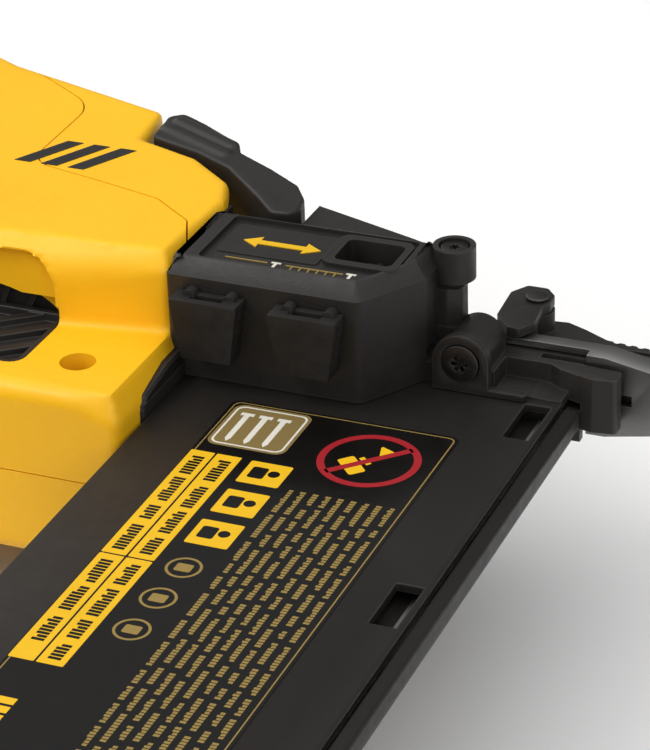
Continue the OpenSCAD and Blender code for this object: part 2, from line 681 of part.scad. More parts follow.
// Pusher that feeds the nails, with its keel in the magazine's groove
module pusher() to_rest() color(steel) difference() {
    union() {
        block([-50, -116, tray_z + 1.05], [-6, -102.4, 8]);
        block([-36.6, -116, -6.1], [-19.4, -103.5, 7.5]);
    }
    bar_x(-33, -23, -109.6, -0.4, 5.2);
}
module pusher_spring() to_rest() color(steel) difference() {
    bar_x(-32.6, -23.4, -109.6, -0.4, 4.9);
    bar_x(-33, -23, -109.6, -0.4, 3);
}
module nail_strip() to_rest() color("#c8c9c6") {
    block([-54.2, -102, drive_z - 0.55], [-0.9, drive_y - 1.8, drive_z + 0.55]);
}
module cover_latch() to_rest() color(black) difference() {
    union() {
        slab(-2, 6.4) soft(1) block_2d([-50.4, mag_end - 14], [-19.6, mag_end - 1.4]);
        bar_x(-52.8, -17.2, latch_y, latch_z, 1.2);
    }
    for (y = [8.4 : 1.9 : 14]) bar_x(-47, -23, mag_end - y, 6.4, 0.5);
}

// ---- Fasteners ----

// A pan-head screw along +Z with a six-lobe socket, its head's top at z = 0
module screw(head_r, shank_r, length) {
    difference() {
        translate([0, 0, -head_r * 0.6]) cylinder(h = head_r * 0.6, r = head_r);
        for (a = [0, 60, 120]) rotate([0, 0, a]) cube([head_r * 0.9, head_r * 0.24, head_r * 0.8], center = true);
    }
    translate([0, 0, -length]) cylinder(h = length - head_r * 0.5, r = shank_r);
}
module nose_bolts() to_rest() color(dark_steel) {
    translate([bolt_pos[0], tube_y - 0.5, bolt_pos[1]]) rotate([90, 0, 0]) screw(3.6, 2, 12);
    translate([boss_pos[0], boss_pos[1], 33.6]) screw(2.5, 1.6, 24);
}
module housing_screws() to_rest() color(dark_steel) {
    for (p = shell_screws) translate([p[0], p[1], p[2] - screw_sink + 1.9]) screw(3, 1.45, p[2] - 2);
    translate([hook_pos[0], hook_pos[1], foot_half + 4.7]) screw(3.4, 1.8, 8);
}

housing_right();
housing_left();
front_cover();
rear_cap();
motor_cap_right();
motor_cap_left();
grip_overmold();
side_bumpers();
nose_casting();
nose_guide();
nose_door();
jam_latch();
latch_pin();
pivot_pins();
contact_trip();
trip_spring();
depth_housing();
depth_wheel();
depth_stop();
no_mar_tip_a();
no_mar_tip_b();
stall_lever();
lever_spring();
mechanism_frame();
motor_stator();
flywheel();
motor_axle();
motor_bearings();
driver_body();
driver_blade();
guide_rods();
return_springs();
bumpers();
pinch_arm();
pinch_roller();
solenoid();
solenoid_plunger();
trigger();
trigger_switch();
trigger_spring();
trigger_lock();
control_board();
work_lights();
mode_selector();
belt_hook();
terminal_block();
battery_case();
battery_cells();
battery_release();
magazine_body();
magazine_cover();
tip_rail();
magazine_bracket();
pusher();
pusher_spring();
nail_strip();
cover_latch();
nose_bolts();
housing_screws();
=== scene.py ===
import math
import random

import bmesh
import bpy
from mathutils import Matrix, Vector


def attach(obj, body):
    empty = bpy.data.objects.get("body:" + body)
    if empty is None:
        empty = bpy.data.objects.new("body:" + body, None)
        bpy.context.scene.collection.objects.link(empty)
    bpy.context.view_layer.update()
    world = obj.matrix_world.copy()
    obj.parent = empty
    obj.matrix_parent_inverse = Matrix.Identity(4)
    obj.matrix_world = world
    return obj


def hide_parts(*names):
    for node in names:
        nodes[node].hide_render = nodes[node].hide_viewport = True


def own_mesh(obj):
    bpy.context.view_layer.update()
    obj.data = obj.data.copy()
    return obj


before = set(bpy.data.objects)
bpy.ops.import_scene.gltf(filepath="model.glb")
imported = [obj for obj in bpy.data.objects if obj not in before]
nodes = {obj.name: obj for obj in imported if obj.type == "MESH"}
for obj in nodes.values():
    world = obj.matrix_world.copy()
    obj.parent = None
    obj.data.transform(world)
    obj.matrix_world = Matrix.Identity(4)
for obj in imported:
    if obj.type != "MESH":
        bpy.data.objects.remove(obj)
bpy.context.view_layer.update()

MM = 0.001
# The working frame of the measurements lies here in the row frame
REST = Vector((124, 84.5, 36))


def at(x, y, z):
    return (Vector((x, y, z)) + REST) * MM


# ---------------------------------------------------------------- camera and light

# The photograph's view: azimuth, elevation and roll in degrees, place in metres, lens in mm
CAMERA_ANGLES = (23.17, 28.02, -1.88)
CAMERA_AT = (0.27475, -0.37590, 0.30954)
CAMERA_LENS = 145.15


def add_camera():
    az, el, roll = (math.radians(a) for a in CAMERA_ANGLES)
    look = Vector((-math.sin(az) * math.cos(el), math.cos(az) * math.cos(el), -math.sin(el)))
    right = Vector((math.cos(az), math.sin(az), 0))
    up = right.cross(look)
    r = math.cos(roll) * right + math.sin(roll) * up
    u = -math.sin(roll) * right + math.cos(roll) * up
    cam = bpy.data.cameras.new("camera")
    cam.lens = CAMERA_LENS
    cam.sensor_width = 36
    cam.clip_start = 0.01
    cam.clip_end = 20
    ob = bpy.data.objects.new("camera", cam)
    bpy.context.scene.collection.objects.link(ob)
    m = Matrix((r, u, -look)).transposed().to_4x4()
    m.translation = Vector(CAMERA_AT)
    ob.matrix_world = m
    bpy.context.scene.camera = ob


def area_light(name, pos, target, size, power):
    li = bpy.data.lights.new(name, "AREA")
    li.shape = "RECTANGLE"
    li.size, li.size_y = size
    li.energy = power
    ob = bpy.data.objects.new(name, li)
    bpy.context.scene.collection.objects.link(ob)
    ob.location = pos
    d = Vector(target) - Vector(pos)
    ob.rotation_euler = d.to_track_quat("-Z", "Y").to_euler()


def add_stage():
    me = bpy.data.meshes.new("floor")
    s = 6
    me.from_pydata([(-s, -s, 0), (s, -s, 0), (s, s, 0), (-s, s, 0)], [], [(0, 1, 2, 3)])
    ob = bpy.data.objects.new("floor", me)
    bpy.context.scene.collection.objects.link(ob)
    mat = bpy.data.materials.new("floor_pale")
    mat.use_nodes = True
    b = mat.node_tree.nodes["Principled BSDF"]
    b.inputs["Base Color"].default_value = (0.93, 0.93, 0.93, 1)
    b.inputs["Roughness"].default_value = 0.7
    me.materials.append(mat)
    sky()
    area_light("key", (-0.6, -0.35, 0.9), (0.05, 0, 0.02), (0.6, 0.6), 5.0)
    area_light("fill", (0.7, -1.0, 0.5), (0.05, 0, 0.03), (0.8, 0.5), 2.2)
    area_light("rim", (-0.9, 0.7, 0.5), (0.0, 0, 0.03), (0.5, 0.4), 1.2)
    bpy.context.scene.view_settings.view_transform = "Standard"


def sky():
    """A studio dome: bright overhead, dim towards the horizon and darkest behind the tool."""
    world = bpy.data.worlds.new("world")
    bpy.context.scene.world = world
    world.use_nodes = True
    nt = world.node_tree
    bg = nt.nodes["Background"]
    bg.inputs["Color"].default_value = (1, 1, 1, 1)
    where = nt.nodes.new("ShaderNodeTexCoord")
    axes = nt.nodes.new("ShaderNodeSeparateXYZ")
    nt.links.new(where.outputs["Generated"], axes.inputs["Vector"])

    def ramp(axis, lo, hi, out_lo, out_hi):
        n = nt.nodes.new("ShaderNodeMapRange")
        n.interpolation_type = "SMOOTHSTEP"
        for name, v in (("From Min", lo), ("From Max", hi), ("To Min", out_lo), ("To Max", out_hi)):
            n.inputs[name].default_value = v
        nt.links.new(axes.outputs[axis], n.inputs["Value"])
        return n.outputs["Result"]

    product = nt.nodes.new("ShaderNodeMath")
    product.operation = "MULTIPLY"
    nt.links.new(ramp("Z", 0.25, 0.85, 0.45, 1.25), product.inputs[0])
    nt.links.new(ramp("Y", 0.1, 0.8, 1.0, 0.35), product.inputs[1])
    nt.links.new(product.outputs[0], bg.inputs["Strength"])


# ---------------------------------------------------------------- materials

class Mat:
    """A node material on one Principled shader, with shorthand for procedural detail."""

    def __init__(self, name):
        self.mat = bpy.data.materials.new(name)
        self.mat.use_nodes = True
        self.nt = self.mat.node_tree
        self.bsdf = self.nt.nodes["Principled BSDF"]
        self.geo = self.nt.nodes.new("ShaderNodeTexCoord")

    def node(self, kind):
        return self.nt.nodes.new(kind)

    def link(self, a, b):
        self.nt.links.new(a, b)

    def coords(self, scale):
        m = self.node("ShaderNodeMapping")
        m.inputs["Scale"].default_value = scale
        self.link(self.geo.outputs["Object"], m.inputs["Vector"])
        return m.outputs["Vector"]

    def noise(self, size_mm, detail=3.0, rough=0.5, stretch=(1, 1, 1)):
        n = self.node("ShaderNodeTexNoise")
        n.inputs["Scale"].default_value = 1000.0 / size_mm
        n.inputs["Detail"].default_value = detail
        n.inputs["Roughness"].default_value = rough
        self.link(self.coords(stretch), n.inputs["Vector"])
        return n.outputs["Fac"]

    def ramp(self, value, lo, hi, out_lo=0.0, out_hi=1.0):
        n = self.node("ShaderNodeMapRange")
        n.inputs["From Min"].default_value = lo
        n.inputs["From Max"].default_value = hi
        n.inputs["To Min"].default_value = out_lo
        n.inputs["To Max"].default_value = out_hi
        self.link(value, n.inputs["Value"])
        return n.outputs["Result"]

    def mix(self, fac, a, b):
        n = self.node("ShaderNodeMix")
        n.data_type = "RGBA"
        for sock, v in ((n.inputs[6], a), (n.inputs[7], b)):
            if isinstance(v, tuple):
                sock.default_value = (*v[:3], 1)
            else:
                self.link(v, sock)
        self.link(fac, n.inputs[0])
        return n.outputs[2]

    def times(self, a, b):
        n = self.node("ShaderNodeMath")
        n.operation = "MULTIPLY"
        for i, v in enumerate((a, b)):
            if isinstance(v, (int, float)):
                n.inputs[i].default_value = v
            else:
                self.link(v, n.inputs[i])
        return n.outputs[0]

    def edges(self, radius_mm=0.5):
        """1 on edges, 0 on flats."""
        soft = self.node("ShaderNodeBevel")
        soft.samples = 4
        soft.inputs["Radius"].default_value = radius_mm * MM
        true = self.node("ShaderNodeNewGeometry")
        dot = self.node("ShaderNodeVectorMath")
        dot.operation = "DOT_PRODUCT"
        self.link(soft.outputs["Normal"], dot.inputs[0])
        self.link(true.outputs["Normal"], dot.inputs[1])
        return self.ramp(dot.outputs["Value"], 0.995, 0.92)

    def color(self, value):
        self.link(value, self.bsdf.inputs["Base Color"])

    def rough(self, value):
        self.link(value, self.bsdf.inputs["Roughness"])

    def bump(self, *layers):
        """layers of (height output, depth in mm)."""
        last = None
        for height, depth in layers:
            b = self.node("ShaderNodeBump")
            b.inputs["Strength"].default_value = 1.0
            b.inputs["Distance"].default_value = depth * MM
            self.link(height, b.inputs["Height"])
            if last is not None:
                self.link(last, b.inputs["Normal"])
            last = b.outputs["Normal"]
        self.link(last, self.bsdf.inputs["Normal"])

    def set(self, **values):
        for k, v in values.items():
            self.bsdf.inputs[k.replace("_", " ")].default_value = v


def plastic(name, base, dark, light, rough=(0.42, 0.52), grain_mm=0.5, grain_depth=0.02, wear=0.0,
            spec=0.4):
    m = Mat(name)
    broad = m.ramp(m.noise(30, 3), 0.3, 0.7)
    fine = m.ramp(m.noise(1.6, 4), 0.35, 0.65)
    col = m.mix(broad, dark, base)
    col = m.mix(m.times(fine, 0.2), col, light)
    if wear:
        col = m.mix(m.times(m.edges(0.7), wear), col, tuple(c * 2.2 for c in light))
    m.color(col)
    m.rough(m.ramp(m.noise(4, 5, 0.6), 0.3, 0.7, rough[0], rough[1]))
    m.bump((m.noise(grain_mm, 2), grain_depth), (m.noise(18, 2), 0.04))
    m.set(Specular_IOR_Level=spec)
    return m.mat


def rubber_mat(name, base, light):
    m = Mat(name)
    fine = m.ramp(m.noise(2.5, 4), 0.3, 0.7)
    col = m.mix(fine, base, light)
    m.color(col)
    m.rough(m.ramp(m.noise(6, 4), 0.3, 0.7, 0.62, 0.78))
    m.bump((m.noise(0.35, 2), 0.03))
    m.set(Specular_IOR_Level=0.25)
    return m.mat


def metal(name, base, dark, rough, stretch=(1, 12, 12), line_mm=1.2, wear=0.0):
    m = Mat(name)
    lines = m.noise(line_mm, 4, 0.6, stretch)
    cloud = m.ramp(m.noise(14, 4), 0.3, 0.7)
    col = m.mix(cloud, dark, base)
    col = m.mix(m.times(m.ramp(lines, 0.4, 0.6), 0.35), col, dark)
    if wear:
        col = m.mix(m.times(m.edges(0.4), wear), col, (0.40, 0.39, 0.38))
    m.color(col)
    m.rough(m.ramp(lines, 0.3, 0.7, rough[0], rough[1]))
    m.bump((lines, 0.006))
    m.set(Metallic=1.0)
    return m.mat


def coated_metal(name, base, light, rough=(0.42, 0.52), grain_mm=0.7, grain_depth=0.02, wear=0.3,
                 spec=0.3):
    m = Mat(name)
    broad = m.ramp(m.noise(16, 4), 0.25, 0.75)
    col = m.mix(broad, base, light)
    edge = m.times(m.edges(0.45), m.ramp(m.noise(2.2, 5, 0.7), 0.4, 0.7, 0.1, wear))
    col = m.mix(edge, col, (0.20, 0.185, 0.17))
    m.color(col)
    m.rough(m.ramp(m.noise(3, 5, 0.6), 0.3, 0.7, rough[0], rough[1]))
    m.bump((m.noise(grain_mm, 3), grain_depth), (m.noise(9, 2), 0.02))
    m.set(Specular_IOR_Level=spec)
    return m.mat


def printed(name, base):
    dark, light = tuple(c * 0.9 for c in base), tuple(min(1.0, c * 1.12) for c in base)
    return plastic(name, base, dark, light, (0.30, 0.42), 1.0, 0.004, spec=0.3)


MATS = {
    "yellow_plastic": plastic("yellow_plastic", (0.96, 0.52, 0.010), (0.92, 0.485, 0.009),
                              (0.98, 0.58, 0.02), (0.36, 0.46), 0.45, 0.012, spec=0.35),
    "black_plastic": plastic("black_plastic", (0.0165, 0.0145, 0.0132), (0.0130, 0.0115, 0.0104),
                             (0.024, 0.0215, 0.0195), (0.42, 0.56), 0.5, 0.03, 0.30, 0.42),
    "black_rubber": rubber_mat("black_rubber", (0.0125, 0.0110, 0.0100), (0.0185, 0.0168, 0.0155)),
    "black_painted_metal": coated_metal("black_painted_metal", (0.0130, 0.0110, 0.0098),
                                        (0.0175, 0.0152, 0.0136), spec=0.4),
    "steel": metal("steel", (0.36, 0.355, 0.345), (0.24, 0.235, 0.23), (0.3, 0.45), wear=0.35),
    "dark_steel": metal("dark_steel", (0.085, 0.080, 0.076), (0.045, 0.042, 0.040), (0.36, 0.5),
                        wear=0.25),
    "frame_aluminium": metal("frame_aluminium", (0.55, 0.56, 0.58), (0.42, 0.43, 0.45), (0.4, 0.55),
                             (1, 1, 1), 0.8),
    "copper_winding": metal("copper_winding", (0.60, 0.26, 0.08), (0.35, 0.14, 0.04), (0.3, 0.4),
                            (1, 1, 14), 0.6),
    "board_green": plastic("board_green", (0.02, 0.16, 0.06), (0.015, 0.12, 0.05),
                           (0.03, 0.22, 0.09), (0.25, 0.35)),
    "cell_blue": plastic("cell_blue", (0.05, 0.14, 0.34), (0.04, 0.11, 0.28), (0.08, 0.2, 0.42),
                         (0.2, 0.3)),
    "nail_steel": metal("nail_steel", (0.42, 0.42, 0.41), (0.30, 0.30, 0.29), (0.3, 0.4)),
    "label_gloss": plastic("label_gloss", (0.0060, 0.0052, 0.0046), (0.0050, 0.0044, 0.0040),
                           (0.0085, 0.0074, 0.0066), (0.16, 0.24), 2.0, 0.004, 0.0, 0.35),
    "print_gold": printed("print_gold", (0.30, 0.205, 0.055)),
    "print_yellow": printed("print_yellow", (0.86, 0.50, 0.012)),
    "print_badge": printed("print_badge", (0.235, 0.165, 0.058)),
    "print_white": printed("print_white", (0.76, 0.73, 0.64)),
    "print_red": printed("print_red", (0.36, 0.016, 0.022)),
    "mag_plate": coated_metal("mag_plate", (0.0140, 0.0120, 0.0105), (0.0165, 0.0143, 0.0125),
                              (0.44, 0.54), 0.5, 0.015, 0.3, 0.22),
}


def lens_mat():
    m = Mat("light_lens")
    m.color(m.mix(m.ramp(m.noise(1.5, 2), 0.3, 0.7), (0.9, 0.94, 1.0), (1, 1, 1)))
    m.rough(m.ramp(m.noise(2, 2), 0.3, 0.7, 0.08, 0.18))
    m.bump((m.noise(1.0, 1), 0.02))
    m.set(Transmission_Weight=0.7, IOR=1.5)
    return m.mat


MATS["light_lens"] = lens_mat()


# ---------------------------------------------------------------- mesh helpers

def rounded(pts, r, seg=5):
    """The polygon with its corners rounded to radius r (a number, or one for each corner)."""
    out = []
    n = len(pts)
    for i in range(n):
        p, a, b = Vector(pts[i]), Vector(pts[i - 1]), Vector(pts[(i + 1) % n])
        u, v = (a - p), (b - p)
        lu, lv = u.length, v.length
        u, v = u / lu, v / lv
        ang = u.angle(v)
        rr = r[i] if isinstance(r, (list, tuple)) else r
        if ang > math.radians(176) or rr < 1e-6:
            out.append(tuple(p))
            continue
        t = min(rr / math.tan(ang / 2), lu * 0.48, lv * 0.48)
        rr = t * math.tan(ang / 2)
        c = p + (u + v).normalized() * (rr / math.sin(ang / 2))
        s, e = p + u * t - c, p + v * t - c
        sweep = math.pi - ang
        side = 1 if (s.x * e.y - s.y * e.x) > 0 else -1
        for k in range(seg + 1):
            w = side * sweep * k / seg
            q = Vector((s.x * math.cos(w) - s.y * math.sin(w), s.x * math.sin(w) + s.y * math.cos(w)))
            out.append(tuple(c + q))
    return out


def circle(x, y, r, n=48):
    return ellipse(x, y, r, r, n)


def ellipse(x, y, a, b, n=64):
    angles = [2 * math.pi * i / n for i in range(n)]
    return [(x + a * math.cos(w), y + b * math.sin(w)) for w in angles]


def rect(x0, y0, x1, y1):
    return [(x0, y0), (x1, y0), (x1, y1), (x0, y1)]


def area2(pts):
    """Twice the polygon's area, negative if its points run clockwise."""
    return sum(pts[i - 1][0] * pts[i][1] - pts[i][0] * pts[i - 1][1] for i in range(len(pts)))


def inset(pts, d):
    """The polygon moved inward by d, with mitred corners."""
    if area2(pts) < 0:
        pts = pts[::-1]
    n = len(pts)
    out = []
    for i in range(n):
        p, a, b = Vector(pts[i]), Vector(pts[i - 1]), Vector(pts[(i + 1) % n])
        e0, e1 = (p - a).normalized(), (b - p).normalized()
        n0, n1 = Vector((-e0.y, e0.x)), Vector((-e1.y, e1.x))
        m = (n0 + n1).normalized()
        out.append(tuple(p + m * (d / max(0.35, m.dot(n0)))))
    return out


def solid(name, parts):
    """An object from closed prisms: parts of (polygon, z0, z1) in the working frame, in mm."""
    bm = bmesh.new()
    for part in parts:
        add_prism(bm, *part)
    return from_bm(name, bm)


def add_prism(bm, pts, z0, z1, axis="z", top=None):
    """Extrudes a polygon along z (its points are x, y), along x (y, z) or along y (z, x)."""
    if area2(pts) < 0:
        pts = pts[::-1]
    top = top or pts

    def place(p, h):
        if axis == "z":
            return at(p[0], p[1], h)
        if axis == "x":
            return at(h, p[0], p[1])
        return at(p[1], h, p[0])

    lo = [bm.verts.new(place(p, z0)) for p in pts]
    hi = [bm.verts.new(place(p, z1)) for p in top]
    n = len(pts)
    bm.faces.new(lo[::-1])
    bm.faces.new(hi)
    for i in range(n):
        bm.faces.new((lo[i], lo[(i + 1) % n], hi[(i + 1) % n], hi[i]))


def from_bm(name, bm):
    me = bpy.data.meshes.new(name)
    bm.normal_update()
    bm.to_mesh(me)
    bm.free()
    ob = bpy.data.objects.new(name, me)
    bpy.context.scene.collection.objects.link(ob)
    return ob


def apply(ob):
    """Makes the object's modifiers part of its mesh."""
    dg = bpy.context.evaluated_depsgraph_get()
    me = bpy.data.meshes.new_from_object(ob.evaluated_get(dg), depsgraph=dg)
    old = ob.data
    ob.modifiers.clear()
    ob.data = me
    if old.users == 0:
        bpy.data.meshes.remove(old)


def boolean(ob, tool, op="DIFFERENCE"):
    """Cuts, joins or intersects the object with a tool object, which is used up."""
    m = ob.modifiers.new("b", "BOOLEAN")
    m.operation = op
    m.solver = "MANIFOLD"
    m.object = tool
    apply(ob)
    bpy.data.objects.remove(tool)


def smooth_by_angle(ob, degrees=35):
    me = ob.data
    me.polygons.foreach_set("use_smooth", [True] * len(me.polygons))
    bm = bmesh.new()
    bm.from_mesh(me)
    lim = math.radians(degrees)
    for e in bm.edges:
        e.smooth = not (len(e.link_faces) != 2 or e.calc_face_angle(0) > lim)
    bm.to_mesh(me)
    bm.free()
    me.update()


def soften(ob, voxel_mm, steps):
    """Rounds every edge of a closed mesh, like a moulded or cast piece."""
    m = ob.modifiers.new("r", "REMESH")
    m.mode = "VOXEL"
    m.voxel_size = voxel_mm * MM
    s = ob.modifiers.new("s", "SMOOTH")
    s.factor = 0.5
    s.iterations = steps
    apply(ob)


def finish_piece(ob, body, mat, degrees=35, bevel=None):
    """Gives a new piece its material, shading, body and material slot."""
    ob.data.materials.clear()
    ob.data.materials.append(MATS[mat])
    if degrees:
        smooth_by_angle(ob, degrees)
    if bevel:
        b = ob.modifiers.new("bevel", "BEVEL")
        b.width = bevel * MM
        b.segments = 2
        b.limit_method = "ANGLE"
        b.angle_limit = math.radians(40)
        b.harden_normals = True
    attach(ob, body)
    return ob


# ---------------------------------------------------------------- CAD nodes that stay

def dress(name, mat, bevel):
    """Gives a CAD node its material and rounds its edges."""
    ob = nodes[name]
    if not ob.data.materials:
        ob.data.materials.append(MATS[mat])
    for i in range(len(ob.data.materials)):
        ob.data.materials[i] = MATS[mat]
    if bevel:
        w = ob.modifiers.new("weld", "WELD")
        w.merge_threshold = 2e-5
        d = ob.modifiers.new("flat", "DECIMATE")
        d.decimate_type = "DISSOLVE"
        d.angle_limit = math.radians(1.0)
        b = ob.modifiers.new("bevel", "BEVEL")
        b.width = bevel * MM
        b.segments = 2
        b.limit_method = "ANGLE"
        b.angle_limit = math.radians(32)
        b.harden_normals = True
        b.use_clamp_overlap = True
    ob.data.polygons.foreach_set("use_smooth", [True] * len(ob.data.polygons))


# ---------------------------------------------------------------- housing

# Outlines seen from the tool's right side: corner x, y, and the fillet of the side edge there,
# or the depth and height of a flat chamfer
BODY = [(-71, -13, 2.2, 3.4), (-71, 13, 1.0, 1.2), (-74, 21, 1.0, 1.2), (-84.4, 29.4, 1.0, 1.2),
        (-98.6, 34.6, 1.0, 1.2), (-100.4, 47.8, 1.2), (-140, 62, 2.4), (-150, 68, 3),
        (-205, 69, 7), (-246, 59, 8), (-266, 43, 8), (-274, 20, 8),
        (-274, -6, 8), (-262, -19, 8), (-235, -27, 8),
        (-150, -27, 9), (-128, -21, 10), (-96, -17, 8)]
STEP = [(-69.4, 0, 2, 6), (-69.4, -40.8, 2, 5), (-78, -41, 3), (-148, -41, 3), (-172, -40, 5), (-180, 0, 5)]
GRIP = [(-160, -8), (-166, -44), (-171, -110), (-173, -176), (-214, -176), (-209, -110),
        (-213, -50), (-232, -8)]
FOOT = [(-168, -156, 4), (-146, -171, 4), (-72, -174, 4), (-72, -192, 2.5), (-234, -192, 2.5),
        (-234, -180, 4), (-216, -158, 4)]
COVER = [(-60, -4.7), (-71.1, -4.7), (-74, 2), (-83.6, 9.2), (-98, 13.1), (-114.8, 17.2),
         (-115.6, 46), (-142, 64), (-142, 80), (-60, 80)]
COVER_CORNERS = [0, 0, 3, 3, 3, 7, 12, 3, 0, 0]
# How far the handle's outline is drawn in at each height over the middle plane
GRIP_SECTION = [(0.0, 8), (0.5, 10.5), (1.6, 13), (3.4, 15), (6, 16.2), (9, 16.5)]
WALL = 3.0
BODY_HALF, STEP_HALF, GRIP_HALF, FOOT_HALF = 34.0, 18.0, 16.5, 20.0
# Front opening in the step, as y, z
NECK = [(-31.7, -11.4), (-31.7, 11.4), (-29.8, 13.7), (-19.5, 15.4), (-4.6, 15.4), (-4.6, -15.4),
        (-19.5, -15.4), (-29.8, -13.7)]
RECESS = (-134, -45, -93.8, -13)
RECESS_TOP = 31.0
RECESS_R = 8
# Where the shell stays solid behind the recess
RECESS_WALL = (-137, -45, -90.8, -8)
VENT = (-132, -33.3, -92.7, -10.8)
VENT_FLOOR = 14.6
# The port over the motor vent, where it climbs the recess's wall
PORT_X, PORT_W, PORT_Z = -113.4, 19.2, 9.2
SCREWS = [(-82.8, -29, STEP_HALF), (-150, -33, STEP_HALF), (-222, 48, BODY_HALF),
          (-249, -8, BODY_HALF), (-192, -104, GRIP_HALF), (-194, -144, GRIP_HALF),
          (-112, -182, FOOT_HALF)]


def flat(pts):
    return [(p[0], p[1]) for p in pts]


def pushed_in(pts, depths):
    """The polygon with each corner moved inward by its own depth."""
    if area2(pts) < 0:
        pts, depths = pts[::-1], depths[::-1]
    out = []
    n = len(pts)
    for i in range(n):
        p, a, b = Vector(pts[i]), Vector(pts[i - 1]), Vector(pts[(i + 1) % n])
        e0, e1 = (p - a).normalized(), (b - p).normalized()
        n0, n1 = Vector((-e0.y, e0.x)), Vector((-e1.y, e1.x))
        m = (n0 + n1).normalized()
        out.append(tuple(p + m * (depths[i] / max(0.5, m.dot(n0)))))
    return out


def loft(name, rings):
    """A closed solid through rings of points in the working frame."""
    bm = bmesh.new()
    rows = [[bm.verts.new(at(*p)) for p in ring] for ring in rings]
    n = len(rows[0])
    bm.faces.new(rows[0][::-1])
    bm.faces.new(rows[-1])
    for a, b in zip(rows, rows[1:]):
        for i in range(n):
            bm.faces.new((a[i], a[(i + 1) % n], b[(i + 1) % n], b[i]))
    bmesh.ops.recalc_face_normals(bm, faces=bm.faces)
    return from_bm(name, bm)


def moulded(name, outline, half):
    """A slab of the outline whose side edges have each corner's own fillet or chamfer."""
    corner, steps = 4.0, 6
    plain = flat(outline)
    if area2(plain) < 0:
        outline, plain = outline[::-1], plain[::-1]
    pts, depth, height, round_ = [], [], [], []
    for i, p in enumerate(outline):
        r = min(corner, max(1.2, p[2]))
        piece = corner_points(plain[i - 1], plain[i], plain[(i + 1) % len(plain)], r)
        pts += piece
        depth += [p[2]] * len(piece)
        height += [p[-1]] * len(piece)
        round_ += [len(p) == 3] * len(piece)
    rings = []
    for sign in (-1, 1):
        rows = []
        for k in range(steps + 1):
            t = k / steps
            a = math.radians(90 * t)
            d = [f * ((1 - math.cos(a)) if c else t) for f, c in zip(depth, round_)]
            h = [f * ((1 - math.sin(a)) if c else 1 - t) for f, c in zip(height, round_)]
            rows.append([(q[0], q[1], sign * (half - z)) for q, z in zip(pushed_in(pts, d), h)])
        rings += rows[::-1] if sign < 0 else rows
    return loft(name, rings)


def corner_points(a, p, b, r, seg=5):
    """Points of a short curve that rounds the corner p between a and b."""
    p, a, b = Vector(p), Vector(a), Vector(b)
    u, v = (a - p), (b - p)
    lu, lv = u.length, v.length
    u, v = u / lu, v / lv
    ang = u.angle(v)
    if ang > math.radians(174):
        return [tuple(p)]
    t = min(r / math.tan(ang / 2), lu * 0.45, lv * 0.45)
    s, e = p + u * t, p + v * t
    return [tuple((1 - w) ** 2 * s + 2 * w * (1 - w) * p + w * w * e)
            for w in (k / seg for k in range(seg + 1))]


def outer_form():
    """The housing's outside as one closed solid: body, step, foot and handle, less the recesses."""
    form = moulded("form", BODY, BODY_HALF)
    boolean(form, moulded("step", STEP, STEP_HALF), "UNION")
    boolean(form, moulded("foot", FOOT, FOOT_HALF), "UNION")
    # The handle is rounded in section
    outline = rounded(GRIP, 8, 8)
    if area2(outline) < 0:
        outline = outline[::-1]
    rings = [[(p[0], p[1], -z) for p in inset(outline, d)] for d, z in reversed(GRIP_SECTION)]
    rings += [[(p[0], p[1], z) for p in inset(outline, d)] for d, z in GRIP_SECTION]
    boolean(form, loft("grip", rings), "UNION")
    for side in (1, -1):
        boolean(form, recess(side))
    return form


def recess(side):
    """The hollow over a motor vent, rounded where it runs out under the housing's side."""
    x0, y0, x1, y1 = RECESS
    outline = rounded([(STEP_HALF, x0), (RECESS_TOP, x0), (RECESS_TOP, x1), (STEP_HALF, x1)],
                      [0, RECESS_R, RECESS_R, 0], 8)
    bm = bmesh.new()
    add_prism(bm, [(side * z, x) for z, x in outline], y0, y1, axis="y")
    return from_bm("recess", bm)


def copied(ob, name):
    """A second object with its own copy of the mesh."""
    new = ob.copy()
    new.data = ob.data.copy()
    new.name = name
    bpy.context.scene.collection.objects.link(new)
    return new


LEVER = [(-98.6, 46.6), (-96.1, 48.8), (-90, 45.4), (-79.4, 38.4), (-77.5, 34.6), (-68.5, 29.2),
         (-60.7, 23.7), (-57.2, 18.5), (-56.4, 14.5), (-57.4, 11.4), (-61.2, 11.1), (-66.1, 16.5),
         (-77.1, 27.3), (-85.9, 32.2), (-92.3, 34.4), (-97.6, 36.4)]
LEVER_IN, LEVER_OUT = 24.0, 33.8
LEVER_PIN = (-60, 16.5)

# Half the gap between the two shells, the front of the rear cap, and the reach of a cutting tool
SHELL_GAP = 0.12
REAR_X, CAP_GAP = -258, 0.3
FAR = 60
# Radii: a screw's boss, head and shaft; a lamp; the room that the cover leaves round the lever
BOSS_R, HEAD_R, SHAFT_R = 5.2, 3.4, 1.7
LAMP_X, LAMP_R = -128, 3.05
LEVER_ROOM_R = 12
# Openings in the housing: outline, z0, z1
OPENINGS = [(rect(-80, -4.8, -60, 22), -31, 31),            # nose
            (rect(-180, -83, -160, -42), -7, 7),            # trigger
            (rect(-223, -200, -139, -188), -16.4, 16.4),    # battery
            (rect(-88, -188, -70, -176), -8, 8),            # magazine bracket
            (circle(-161, -32.6, 4.15), -20, 20),           # trigger lock
            (circle(-91, -183, 5.2), 15, 22),               # mode selector
            (circle(-150, -182, 2), 15, 22)]                # belt hook's screw


